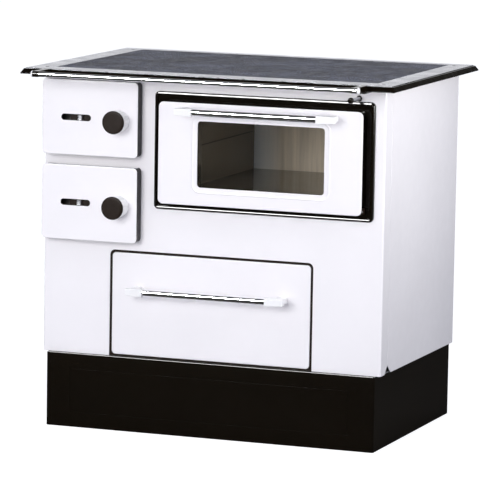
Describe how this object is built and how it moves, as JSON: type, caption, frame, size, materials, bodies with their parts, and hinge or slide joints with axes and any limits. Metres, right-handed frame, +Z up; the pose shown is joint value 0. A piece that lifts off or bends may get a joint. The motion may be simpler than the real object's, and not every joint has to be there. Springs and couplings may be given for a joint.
{
  "type": "wood cookstove",
  "caption": "Freestanding wood-burning range cooker: flat iron hob, windowed drop-down oven door, hinged fire and ash doors with air slides, fuel drawer, towel rail and plinth.",
  "frame": {"origin": "on the floor under the middle of the bounding box", "axes": "+Z up, +X to the right of someone who faces the stove, +Y from the front to the back"},
  "size_m": [0.922, 0.7375, 0.8515],
  "materials": {
    "white_enamel": "glossy white vitreous enamel on sheet steel",
    "black_enamel": "glossy black vitreous enamel on sheet steel",
    "cast_iron_top": "ground cast iron, dark blue-grey with a fine speckle",
    "polished_steel": "polished steel band",
    "bright_chrome": "bright chrome on steel tube",
    "white_handle": "glossy white moulding",
    "black_handle": "glossy black moulding",
    "cast_iron_dark": "dark painted cast iron",
    "dark_sheet": "dark heat-proof enamel on sheet steel",
    "plain_steel": "plain zinc-plated steel",
    "firebrick": "matt fireclay",
    "rope_gasket": "woven glass-fibre rope",
    "oven_window": "clear heat-proof glass"
  },
  "bodies": {
    "stove": {"front_panel": "white_enamel", "side_panel_left": "white_enamel", "side_panel_right": "white_enamel", "plinth": "black_enamel", "hob_frame": "black_enamel", "oven_surround": "black_enamel", "rail_brackets": "black_enamel", "cooking_plate": "cast_iron_top", "hob_trim": "polished_steel", "towel_rail": "bright_chrome", "rail_caps": "white_handle", "fire_door_frame": "cast_iron_dark", "ash_door_frame": "cast_iron_dark", "fire_grate": "cast_iron_dark", "firebox_shell": "dark_sheet", "gas_casing": "dark_sheet", "gas_baffle": "dark_sheet", "flue_collar": "dark_sheet", "oven_box": "dark_sheet", "base_pan": "plain_steel", "back_panel": "plain_steel", "ash_pan": "plain_steel", "ash_pan_bail": "plain_steel", "drawer_runner_left": "plain_steel", "drawer_runner_right": "plain_steel", "damper_bush": "plain_steel", "oven_hinge_brackets": "plain_steel", "hob_screws": "plain_steel", "back_screws": "plain_steel", "firebricks": "firebrick", "oven_seal": "rope_gasket"},
    "fire_door": {"fire_door_plate": "white_enamel", "fire_door_casting": "cast_iron_dark", "fire_door_shield": "plain_steel", "fire_hinge_pins": "plain_steel"},
    "ash_door": {"ash_door_plate": "white_enamel", "ash_door_casting": "cast_iron_dark", "ash_door_shield": "plain_steel", "ash_hinge_pins": "plain_steel"},
    "fire_air": {"fire_air_slide": "plain_steel"},
    "ash_air": {"ash_air_slide": "plain_steel"},
    "fire_latch_knob": {"fire_knob": "white_handle", "fire_knob_cap": "black_handle", "fire_latch": "plain_steel"},
    "ash_latch_knob": {"ash_knob": "white_handle", "ash_knob_cap": "black_handle", "ash_latch": "plain_steel"},
    "oven_door": {"oven_door_plate": "white_enamel", "oven_door_casing": "black_enamel", "oven_glass": "oven_window", "oven_handle_bar": "bright_chrome", "oven_handle_ends": "white_handle", "oven_hinge_pins": "plain_steel"},
    "drawer": {"drawer_front": "white_enamel", "drawer_box": "plain_steel", "drawer_handle_bar": "bright_chrome", "drawer_handle_ends": "white_handle"},
    "damper": {"damper_knob": "black_handle", "damper_rod": "plain_steel", "damper_flap": "dark_sheet"}
  },
  "joints": [
    {"name": "fire_door_hinge", "type": "hinge", "parent": "stove", "child": "fire_door", "pos_m": [-0.407, -0.24525, 0.7375], "axis": [0, 0, -1], "range_deg": [0, 100]},
    {"name": "fire_air_slide_travel", "type": "slide", "parent": "fire_door", "child": "fire_air", "axis": [1, 0, 0], "range_m": [-0.036, 0.016]},
    {"name": "fire_latch_turn", "type": "hinge", "parent": "fire_door", "child": "fire_latch_knob", "pos_m": [-0.22, -0.26125, 0.7345], "axis": [0, 1, 0], "range_deg": [0, 90]},
    {"name": "ash_door_hinge", "type": "hinge", "parent": "stove", "child": "ash_door", "pos_m": [-0.407, -0.24525, 0.538], "axis": [0, 0, -1], "range_deg": [0, 100]},
    {"name": "ash_air_slide_travel", "type": "slide", "parent": "ash_door", "child": "ash_air", "axis": [1, 0, 0], "range_m": [-0.036, 0.016]},
    {"name": "ash_latch_turn", "type": "hinge", "parent": "ash_door", "child": "ash_latch_knob", "pos_m": [-0.22, -0.26125, 0.535], "axis": [0, 1, 0], "range_deg": [0, 90]},
    {"name": "oven_door_hinge", "type": "hinge", "parent": "stove", "child": "oven_door", "pos_m": [0.127, -0.24825, 0.557], "axis": [1, 0, 0], "range_deg": [0, 90]},
    {"name": "drawer_travel", "type": "slide", "parent": "stove", "child": "drawer", "axis": [0, -1, 0], "range_m": [0, 0.38]},
    {"name": "damper_travel", "type": "slide", "parent": "stove", "child": "damper", "axis": [0, -1, 0], "range_m": [0, 0.034]}
  ]
}
